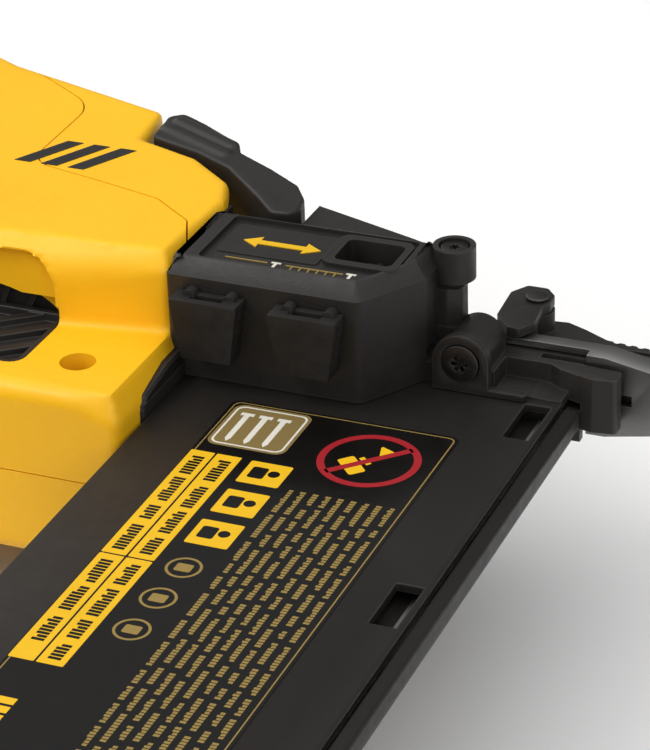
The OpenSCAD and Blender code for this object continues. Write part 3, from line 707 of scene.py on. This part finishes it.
def housing():
    """The outer form, hollowed, opened and split into two shells, front cover and rear cap."""
    form = outer_form()
    soften(form, 0.75, 4)
    inner = solid("inner", [(inset(flat(BODY), WALL), WALL - BODY_HALF, BODY_HALF - WALL)])
    for pts, half in ((STEP, STEP_HALF), (FOOT, FOOT_HALF)):
        boolean(inner, solid("t", [(inset(flat(pts), WALL), -half + WALL, half - WALL)]), "UNION")
    boolean(inner, solid("t", [(inset(GRIP, WALL + 2.5), -11, 11)]), "UNION")
    for x, y, z in SCREWS:
        boolean(inner, solid("t", [(circle(x, y, BOSS_R), -z, z)]))
    for s in (1, -1):
        z0, z1 = sorted((s * (STEP_HALF - WALL), s * BODY_HALF))
        boolean(inner, solid("t", [(rect(*RECESS_WALL), z0, z1)]))
    boolean(form, inner)
    # Openings for the nose, the vents, the trigger, the battery, the controls and the lamps
    opening = bmesh.new()
    add_prism(opening, inset(rounded(NECK, 1.6), -0.1), -80, -60, axis="x")
    boolean(form, from_bm("opening", opening))
    vents = [(rounded(rect(*VENT), 3), *sorted((s * VENT_FLOOR, s * 21.5))) for s in (1, -1)]
    for cut in OPENINGS + vents:
        boolean(form, solid("cut", [cut]))
    for s in (1, -1):
        bm = bmesh.new()
        add_prism(bm, [(s * (VENT_FLOOR - 0.6) + q[0], q[1]) for q in ellipse(0, PORT_X, PORT_Z, PORT_W)],
                  -16, -8.4, axis="y")
        boolean(form, from_bm("port", bm))
    for z in (9, -9):
        bm = bmesh.new()
        add_prism(bm, [(q[1], q[0]) for q in circle(LAMP_X, z, LAMP_R)], -42, -36, axis="y")
        boolean(form, from_bm("lamp_hole", bm))
    for x, y, z in SCREWS:
        boolean(form, solid("cut", [(circle(x, y, HEAD_R), z - 10, z + 2)]))
        boolean(form, solid("cut", [(circle(x, y, SHAFT_R), -z + 3, z)]))
    # Split into cover, rear cap and two shells
    line = rounded(COVER, COVER_CORNERS, 8)
    cover = copied(form, "cover_skin")
    boolean(cover, solid("t", [(line, -FAR, FAR)]), "INTERSECT")
    boolean(form, solid("t", [(inset(line, -0.3), -FAR, FAR)]))
    rear = copied(form, "rear_cap_skin")
    boolean(rear, solid("t", [(rect(-290, -60, REAR_X - CAP_GAP, 90), -FAR, FAR)]), "INTERSECT")
    boolean(form, solid("t", [(rect(-290, -60, REAR_X, 90), -FAR, FAR)]))
    for yy in range(-2, 41, 7):
        boolean(rear, solid("t", [(rounded(rect(-280, yy, -264, yy + 3), 1), -24, 24)]))
    left = copied(form, "housing_left_skin")
    form.name = "housing_right_skin"
    everything = rect(-300, -240, 0, 100)
    boolean(form, solid("t", [(everything, SHELL_GAP, FAR)]), "INTERSECT")
    boolean(left, solid("t", [(everything, -FAR, -SHELL_GAP)]), "INTERSECT")
    # The cover leaves room for the stall lever
    boolean(cover, solid("t", [(circle(*LEVER_PIN, LEVER_ROOM_R), -40, 40)]))
    for ob, node, mat in ((form, "housing_right", "yellow_plastic"),
                          (left, "housing_left", "yellow_plastic"),
                          (cover, "front_cover", "yellow_plastic"), (rear, "rear_cap", "black_plastic")):
        finish_piece(ob, "tool", mat, degrees=40)
        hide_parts(node)


# ---------------------------------------------------------------- label on the magazine

PLATE_Z = 10.0


def flat_shapes(name, shapes, z0, z1, mat, body):
    """A piece of thin flat shapes: print, or paper."""
    bm = bmesh.new()
    for pts in shapes:
        add_prism(bm, pts, z0, z1)
    finish_piece(from_bm(name, bm), body, mat, degrees=30)


def label():
    """A plain label on the magazine: shapes, tables and greeked print, without any words."""
    rnd = random.Random(7)
    body = "cover"
    # The paper, then a first and a second layer of print on it
    top = PLATE_Z + 0.10
    ink, over = top + 0.03, top + 0.045
    flat_shapes("label_base", [rounded(rect(-56, -200, -12, -19.5), 1.6)], PLATE_Z, top, "label_gloss",
                body)
    flat_shapes("label_badge", [rounded(rect(-54.8, -36, -39.6, -20.8), 2.0)], top, ink,
                "print_badge", body)
    # Thin border and a brad pictogram on the badge
    frame_bm = bmesh.new()
    outer = rounded(rect(-54.2, -35.4, -40.2, -21.4), 1.6)
    inner_ = rounded(rect(-53.8, -35.0, -40.6, -21.8), 1.3)
    add_ring(frame_bm, outer, inner_, ink, top + 0.05)
    for i in range(3):
        xx = -51.4 + i * 3.6
        tip = [(xx - 0.55, -33.2), (xx, -34.3), (xx + 0.55, -33.2)]
        for part in (rect(xx - 0.55, -33.2, xx + 0.55, -24.6), rect(xx - 1.3, -24.6, xx + 1.3, -23.6), tip):
            add_prism(frame_bm, part, ink, top + 0.05)
    finish_piece(from_bm("label_badge_print", frame_bm), body, "print_white")
    # Yellow table with thin dividers
    cells = []
    for x0, x1 in ((-55.8, -51.2), (-50.8, -46)):
        for y0, y1 in ((-75.8, -39), (-109.6, -76.2)):
            cells.append(rounded(rect(x0, y0, x1, y1), 0.25))
    flat_shapes("label_table", cells, top, ink, "print_yellow", body)
    bars = []
    for x0 in (-54.6, -49.5):
        for y0, y1 in ((-74.8, -41), (-108.6, -78)):
            y = y1
            while y > y0 + 4:
                w = rnd.uniform(5, 9)
                e = max(y0, y - w)
                bars += word(x0, x0 + 2.3, e, y, rnd)
                y = e - 1.6
    flat_shapes("label_table_print", bars, ink, over, "label_gloss", body)
    # Yellow squares with plain pictograms
    squares, marks = [], []
    for y0, y1 in ((-46.8, -39.2), (-57.6, -49.6), (-68.4, -60.4)):
        squares.append(rounded(rect(-44, y0, -36, y1), 0.4))
        cx, cy = -40, (y0 + y1) / 2
        marks.append(circle(cx + 1.6, cy + 0.4, 1.1, 20))
        marks.append(rounded(rect(cx - 2.8, cy - 1.8, cx + 0.2, cy + 2.0), 0.5))
    flat_shapes("label_squares", squares, top, ink, "print_yellow", body)
    flat_shapes("label_square_marks", marks, ink, over, "label_gloss", body)
    # Round marks further down
    bm = bmesh.new()
    for cy in (-76, -86, -96):
        add_ring(bm, circle(-40.4, cy, 3.2, 40), circle(-40.4, cy, 2.7, 40), top, top + 0.02)
        add_prism(bm, rounded(rect(-41.9, cy - 1.2, -38.9, cy + 1.2), 0.4), top, top + 0.02)
    finish_piece(from_bm("label_round_marks", bm), body, "print_gold")
    # Red ring with a bar over plain yellow shapes
    cx, cy = -24.5, -32.5
    bm = bmesh.new()
    add_ring(bm, circle(cx, cy, 9.3, 72), circle(cx, cy, 7.9, 72), ink, top + 0.06)
    add_prism(bm, turned(rect(-8.4, -0.7, 8.4, 0.7), cx, cy, 45), ink, top + 0.06)
    finish_piece(from_bm("label_ring", bm), body, "print_red")
    shapes = [rounded([(cx - 5.5, cy - 1.5), (cx - 1.5, cy - 5.8), (cx + 0.8, cy - 3.6),
                       (cx - 3.2, cy + 0.8)], 0.5),
              rounded([(cx + 0.2, cy + 5.6), (cx + 1.4, cy + 1.2), (cx + 4.6, cy + 3.6)], 0.3),
              turned(rect(-1.4, -0.5, 1.4, 0.5), cx - 0.6, cy - 0.3, -40)]
    flat_shapes("label_ring_shapes", shapes, top, ink, "print_yellow", body)
    # Lines of greeked print along the magazine
    bars = []
    x = -34.0
    for _ in range(9):
        y = -46.5
        stop = -190 + rnd.uniform(0, 24)
        while y > stop:
            w = rnd.uniform(2.6, 8.5)
            bars += word(x, x + 1.05, y - w, y, rnd, 0.8)
            y -= w + 1.1
        x += 2.35
    flat_shapes("label_print", bars, top, top + 0.015, "print_gold", body)
    big = []
    y = -120
    while y > -188:
        w = rnd.uniform(8, 16)
        big += word(-52.5, -48.5, y - w, y, rnd, 2.4)
        y -= w + 3
    flat_shapes("label_heading", big, top, top + 0.015, "print_yellow", body)
    # Border line round the label
    bm = bmesh.new()
    add_ring(bm, rounded(rect(-55.4, -199.4, -12.6, -20.1), 1.4),
             rounded(rect(-55.15, -199.15, -12.85, -20.35), 1.2), top, top + 0.012)
    finish_piece(from_bm("label_border", bm), body, "print_gold")


def word(x0, x1, y0, y1, rnd, pitch=0.95):
    """A word of greeked print: a row of small blocks."""
    out = []
    y = y1
    while y - pitch * 0.6 > y0:
        cut = rnd.choice((0, 0, 0, 0.25))
        out.append(rect(x0 + (x1 - x0) * cut, y - pitch * 0.74, x1, y))
        y -= pitch
    return out


def turned(pts, cx, cy, degrees):
    """The polygon turned about the origin, then moved to cx, cy."""
    c, s = math.cos(math.radians(degrees)), math.sin(math.radians(degrees))
    return [(cx + c * x - s * y, cy + s * x + c * y) for x, y in pts]


def add_ring(bm, outer, inner_, z0, z1):
    """A flat frame between two outlines with the same number of points."""
    n = len(outer)
    o0 = [bm.verts.new(at(*p, z0)) for p in outer]
    o1 = [bm.verts.new(at(*p, z1)) for p in outer]
    i0 = [bm.verts.new(at(*p, z0)) for p in inner_]
    i1 = [bm.verts.new(at(*p, z1)) for p in inner_]
    for i in range(n):
        j = (i + 1) % n
        bm.faces.new((o0[i], o0[j], o1[j], o1[i]))
        bm.faces.new((i0[j], i0[i], i1[i], i1[j]))
        bm.faces.new((o1[i], o1[j], i1[j], i1[i]))
        bm.faces.new((o0[j], o0[i], i0[i], i0[j]))


def depth_graphics():
    """An arrow and a scale on the face of the depth housing, as in the photograph."""
    z = 33.25
    body = "tool"
    arrow = [(-61.2, -1.2), (-58.0, 0.9), (-58.0, -0.45), (-49.0, -0.45), (-49.0, 0.9), (-45.8, -1.2),
             (-49.0, -3.3), (-49.0, -1.95), (-58.0, -1.95), (-58.0, -3.3)]
    flat_shapes("depth_arrow", [arrow], z, z + 0.22, "print_yellow", body)
    scale = [rect(-61.6, -8.9, -53.2, -8.55), rect(-49.6, -8.9, -38.4, -8.55)]
    scale += [rect(x, -10.3, x + 0.3, -8.9) for x in (-48.4, -46.7, -45.0, -43.3, -41.6, -39.9)]
    flat_shapes("depth_scale", scale, z, z + 0.18, "print_gold", body)
    nails = []
    for x, h in ((-51.6, 2.6), (-36.9, 1.8)):
        nails.append(rect(x - 0.95, -8.6, x + 0.95, -8.15))
        nails.append([(x - 0.28, -8.6), (x - 0.28, -8.6 - h), (x, -9.0 - h), (x + 0.28, -8.6 - h),
                      (x + 0.28, -8.6)])
    flat_shapes("depth_scale_nails", nails, z, z + 0.18, "print_white", body)


def side_marks():
    """Plain slanted bars on each side of the housing, where a maker would put a mark."""
    for side, name in ((1, "right"), (-1, "left")):
        z0, z1 = sorted((side * (BODY_HALF - 0.1), side * (BODY_HALF + 0.12)))
        bars = [[(x, 16.5), (x + 3.4, 16.5), (x + 9.4, 28), (x + 6.0, 28)] for x in (-118, -112.2, -106.4)]
        flat_shapes("side_marks_" + name, bars, z0, z1, "black_plastic", "tool")


# ---------------------------------------------------------------- black mouldings and castings

BLOCK = [(-71.6, -13.8), (-33.6, -13.8), (-25.4, -0.8), (-25.4, 9.8), (-71.6, 9.8)]
BOSS = (-23.2, 8.2)


def joined(pieces):
    """Unites the pieces into the first one."""
    first = pieces[0]
    for ob in pieces[1:]:
        boolean(first, ob, "UNION")
    return first


def depth_block():
    """The block with the window of the depth wheel, its wedge and its screw boss."""
    plan = rounded(BLOCK, [1.0, 2.2, 1.6, 1.6, 1.0], 5)
    rings = [[(q[0], q[1], z) for q in inset(plan, d)]
             for d, z in ((0, 10.2), (0, 30.7), (0.3, 31.2), (1.9, 33.6), (2.3, 33.9), (2.8, 34))]
    if area2(plan) < 0:
        rings = [r[::-1] for r in rings]
    block = loft("depth_block", rings)
    panel = rounded([(-66.2, -11.2), (-34.8, -11.2), (-29.2, -2.4), (-29.2, 7), (-66.2, 7)], 1.1, 4)
    window = rounded(rect(-42.2, -4.4, -30.9, 4.4), 1.3)
    for cut in ((panel, 33.05, 36), (rect(-72, -0.9, -20, 14), 10, 16.6),
                (rect(-68, -3.2, -43, 14), 16.4, 24), (window, 18, 36),
                (rect(-72, -15, -68.6, 0), 10, 12.8)):
        boolean(block, solid("t", [cut]))
    bm = bmesh.new()
    add_prism(bm, circle(25, -36.5, 1.6), -7.5, 7.5, axis="y")
    boolean(block, from_bm("t", bm))
    # Raised lip round the window and a raised field beside it
    lip = solid("lip", [(rounded(rect(-44.2, -6.2, -29.6, 6.2), 2.2), 32.9, 34)])
    boolean(lip, solid("t", [(window, 32, 36)]))
    field = solid("field", [(rounded(rect(-64.6, -6.6, -44.6, 5.2), 0.8), 32.9, 33.3)])
    scale = rounded([(-63.6, -11.0), (-35.6, -11.0), (-33.2, -7.4), (-63.6, -7.4)], 0.5)
    strip = solid("strip", [(scale, 32.9, 33.3)])
    slope = [(-55.6, 9), (-55.6, 21.8), (-51.3, 20.3), (-34.3, 14.3), (-25.4, 10.9), (-25.4, 9)]
    wedge = solid("wedge", [(slope, 16.6, 31)])
    boolean(wedge, solid("t", [(rect(-70, -4, -43, 14), 16, 24)]))
    # Screw boss: a round head on a narrower post
    x, y = BOSS
    head = solid("head", [(circle(x, y, 4), 27.6, 34)])
    shank = loft("neck", [[(q[0], q[1], 25.6) for q in circle(x - 1, y, 2.9)],
                          [(q[0], q[1], 28) for q in circle(x, y, 4)]])
    column = rounded([(-27.2, 4.8), (-23.4, 4.6), (-21.2, 6.6), (-21.2, 10.4), (-27.2, 10.4)], 0.8)
    post = solid("post", [(column, 16.7, 26.4)])
    ledge = solid("ledge", [(rounded(rect(-27, 4.4, -18.2, 10.8), 1.0), 16.7, 18.8)])
    whole = joined([block, lip, field, strip, wedge, head, shank, post, ledge])
    boolean(whole, solid("t", [(circle(x, y, 3), 32, 36)]))
    boolean(whole, solid("t", [(circle(x, y, 1.7), 9, 36)]))
    finish_piece(whole, "tool", "black_plastic", degrees=30, bevel=0.35)
    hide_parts("depth_housing")


def stall_lever():
    """Two arms on the pin, joined by a thumb piece."""
    outline = rounded(LEVER, 1.6)
    arms = [solid("arm", [(outline, *sorted((side * LEVER_IN, side * LEVER_OUT)))]) for side in (1, -1)]
    thumb = [(-97.8, 37.4), (-98, 46.4), (-95.8, 48), (-89, 44), (-86.6, 41.6), (-86.6, 33.4)]
    lever = joined(arms + [solid("grip", [(thumb, -25, 25)])])
    for z0, z1 in ((24, 33.5), (-33.5, -24)):
        boolean(lever, solid("t", [(circle(*LEVER_PIN, 2.55), z0, z1)]))
    # Two ribs on each side give the thumb a hold
    ribs = []
    for side in (1, -1):
        z0, z1 = sorted((side * 33.4, side * 34.5))
        for (x0, y0), (x1, y1) in (((-95.2, 44.6), (-80.2, 36.8)), ((-95.9, 40.6), (-80.0, 32.6))):
            ribs.append(solid("rib", [(stadium(x0, y0, x1, y1, 1.05), z0, z1)]))
    joined([lever] + ribs)
    soften(lever, 0.4, 5)
    finish_piece(lever, "lever", "black_plastic", degrees=50)
    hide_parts("stall_lever")


def stadium(x0, y0, x1, y1, r, seg=6):
    """A straight slot with round ends."""
    a = math.atan2(y1 - y0, x1 - x0)
    out = []
    for (cx, cy), start in (((x1, y1), a - math.pi / 2), ((x0, y0), a + math.pi / 2)):
        for k in range(seg + 1):
            w = start + math.pi * k / seg
            out.append((cx + r * math.cos(w), cy + r * math.sin(w)))
    return out


def neck():
    """Black wall of the casting that fills the front of the housing's step."""
    outline = rounded(NECK, 1.6)
    bm = bmesh.new()
    add_prism(bm, outline, -76, -69.4, axis="x")
    add_prism(bm, outline, -69.4, -68.9, axis="x", top=inset(outline, 0.5))
    whole = from_bm("neck_wall", bm)
    finish_piece(whole, "tool", "black_painted_metal", degrees=30)


def vent_walls():
    """Dark wall behind each port, with slanted fins."""
    for side, name in ((1, "right"), (-1, "left")):
        bm = bmesh.new()
        zc = side * (VENT_FLOOR - 0.6)
        wall = [(zc + q[0], q[1]) for q in ellipse(0, PORT_X, PORT_Z + 1.2, PORT_W + 1)]
        add_prism(bm, wall, -9.6, -8.7, axis="y")
        for k in range(7):
            x = PORT_X - 16 + 5.4 * k
            z0 = side * (VENT_FLOOR + 1)
            rise = max(0.1, 1 - ((x + 3 - PORT_X) / PORT_W) ** 2) ** 0.5
            z1 = side * (VENT_FLOOR + 1 + PORT_Z * rise * 0.8)
            fin = [(z0, x - 1.4), (z1, x + 1.6), (z1, x + 2.6), (z0, x - 0.4)]
            add_prism(bm, fin, -10.6, -9.4, axis="y")
        finish_piece(from_bm("vent_wall_" + name, bm), "tool", "black_plastic", degrees=30)


# ---------------------------------------------------------------- springs and nails

# Line of the blade, and the distance between two brads
DRIVE_Y, DRIVE_Z = 12.0, 7.5
NAIL_PITCH = 1.27
SHANK_HALF = (0.52, 0.5)


def coil(name, start, end, radius, wire, turns, node, joint=None):
    """A helical spring between two points; with a joint, it gets its own copy of its mesh."""
    bm = bmesh.new()
    per, ring_n = 16, 6
    total = int(turns * per)
    a, b = Vector(start), Vector(end)
    axis = (b - a).normalized()
    u = Vector((0, 0, 1)) if abs(axis.z) < 0.5 else Vector((1, 0, 0))
    v = axis.cross(u)
    rows = []
    for i in range(total + 1):
        t = i / total
        w = 2 * math.pi * turns * t
        out = u * math.cos(w) + v * math.sin(w)
        c = a + (b - a) * t + out * radius
        row = []
        for k in range(ring_n):
            q = 2 * math.pi * k / ring_n
            p = c + out * (wire * math.cos(q)) + axis * (wire * math.sin(q))
            row.append(bm.verts.new(at(*p)))
        rows.append(row)
    for r0, r1 in zip(rows, rows[1:]):
        for k in range(ring_n):
            bm.faces.new((r0[k], r0[(k + 1) % ring_n], r1[(k + 1) % ring_n], r1[k]))
    bm.faces.new(rows[0][::-1])
    bm.faces.new(rows[-1])
    bmesh.ops.recalc_face_normals(bm, faces=bm.faces)
    ob = finish_piece(from_bm(name, bm), "tool", "steel", degrees=60)
    if joint:
        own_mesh(ob)
    if node:
        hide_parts(node)


def springs():
    """Return springs round the two rods, and the springs of trip, trigger and lever."""
    z = DRIVE_Z
    for name, side, node in (("return_spring_right", 12, "return_springs"),
                             ("return_spring_left", -12, None)):
        coil(name, (-192.4, DRIVE_Y, z + side), (-77.6, DRIVE_Y, z + side), 3.1, 0.45, 26, node,
             "driver_slide")
    coil("trip_coil", (-71.0, 9.7, 15.2), (-60.6, 9.7, 15.2), 0.8, 0.25, 7, "trip_spring",
         "contact_trip_slide")
    coil("trigger_coil", (-182.5, -62, 0), (-163.5, -62, 0), 2.4, 0.4, 8, "trigger_spring",
         "trigger_slide")
    coil("lever_coil", (*LEVER_PIN, -23), (*LEVER_PIN, -15.2), 6.2, 0.7, 4.5, "lever_spring")


def nails():
    """A stick of brads: each a thin shank with a head at its back and a chisel point."""
    bm = bmesh.new()
    y = DRIVE_Y - 1.9
    while y > -101.4:
        w, h = SHANK_HALF
        shank = [(-53.4, y - w), (-6.8, y - w), (-6.2, y), (-6.8, y + w), (-53.4, y + w)]
        add_prism(bm, shank, DRIVE_Z - h, DRIVE_Z + h)
        add_prism(bm, rect(-54.2, y - 0.6, -53.4, y + 0.6), DRIVE_Z - 0.55, DRIVE_Z + 0.55)
        y -= NAIL_PITCH
    ob = finish_piece(from_bm("nails", bm), "tool", "nail_steel", degrees=30)
    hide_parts("nail_strip")
    # Wear strips in the tray, on which the brads slide
    bm = bmesh.new()
    add_prism(bm, rect(-2.9, -200, -2.3, -3), 5.9, 6.9)
    add_prism(bm, rect(-54.4, -200, -51, -12), 5.9, 6.9)
    finish_piece(from_bm("tray_strip", bm), "tool", "steel", degrees=30)


# ---------------------------------------------------------------- build

add_camera()
add_stage()

# CAD nodes that are seen as they are: material and edge width
PLAIN = {
    "motor_cap_right": ("black_plastic", 0.3), "motor_cap_left": ("black_plastic", 0.3),
    "grip_overmold": ("black_rubber", 0), "side_bumpers": ("black_rubber", 0.8),
    "nose_casting": ("black_painted_metal", 0.5), "nose_guide": ("dark_steel", 0.3),
    "nose_door": ("black_painted_metal", 0.5), "jam_latch": ("black_painted_metal", 0.3),
    "latch_pin": ("dark_steel", 0.2), "pivot_pins": ("steel", 0.2), "contact_trip": ("steel", 0.3),
    "depth_wheel": ("black_plastic", 0.2),
    "depth_stop": ("steel", 0.2), "no_mar_tip_a": ("black_rubber", 0.5),
    "no_mar_tip_b": ("black_rubber", 0.5),
    "mechanism_frame": ("frame_aluminium", 0.3), "motor_stator": ("copper_winding", 0.3),
    "flywheel": ("dark_steel", 0.2), "motor_axle": ("steel", 0.2), "motor_bearings": ("steel", 0.2),
    "driver_body": ("steel", 0.3), "driver_blade": ("steel", 0.1), "guide_rods": ("steel", 0.2),
    "bumpers": ("black_rubber", 0.4), "pinch_arm": ("steel", 0.3),
    "pinch_roller": ("dark_steel", 0.3), "solenoid": ("black_plastic", 0.4),
    "solenoid_plunger": ("steel", 0.2),
    "trigger": ("black_plastic", 1.0), "trigger_switch": ("black_plastic", 0.3),
    "trigger_lock": ("black_rubber", 0.6), "control_board": ("board_green", 0.1),
    "work_lights": ("light_lens", 0.3), "mode_selector": ("black_plastic", 0.4),
    "belt_hook": ("dark_steel", 0.4),
    "terminal_block": ("black_plastic", 0.3), "battery_case": ("black_plastic", 1.2),
    "battery_cells": ("cell_blue", 0.5), "battery_release": ("black_plastic", 0.5),
    "magazine_body": ("black_painted_metal", 0.4), "magazine_cover": ("mag_plate", 0.25),
    "tip_rail": ("mag_plate", 0.5), "magazine_bracket": ("steel", 0.3), "pusher": ("steel", 0.2),
    "pusher_spring": ("steel", 0.2), "cover_latch": ("black_plastic", 0.5),
    "nose_bolts": ("dark_steel", 0.25), "housing_screws": ("dark_steel", 0.2),
}
for node_name, (mat_name, width) in PLAIN.items():
    dress(node_name, mat_name, width)

housing()
neck()
vent_walls()
depth_block()
stall_lever()
springs()
nails()
label()
depth_graphics()
side_marks()
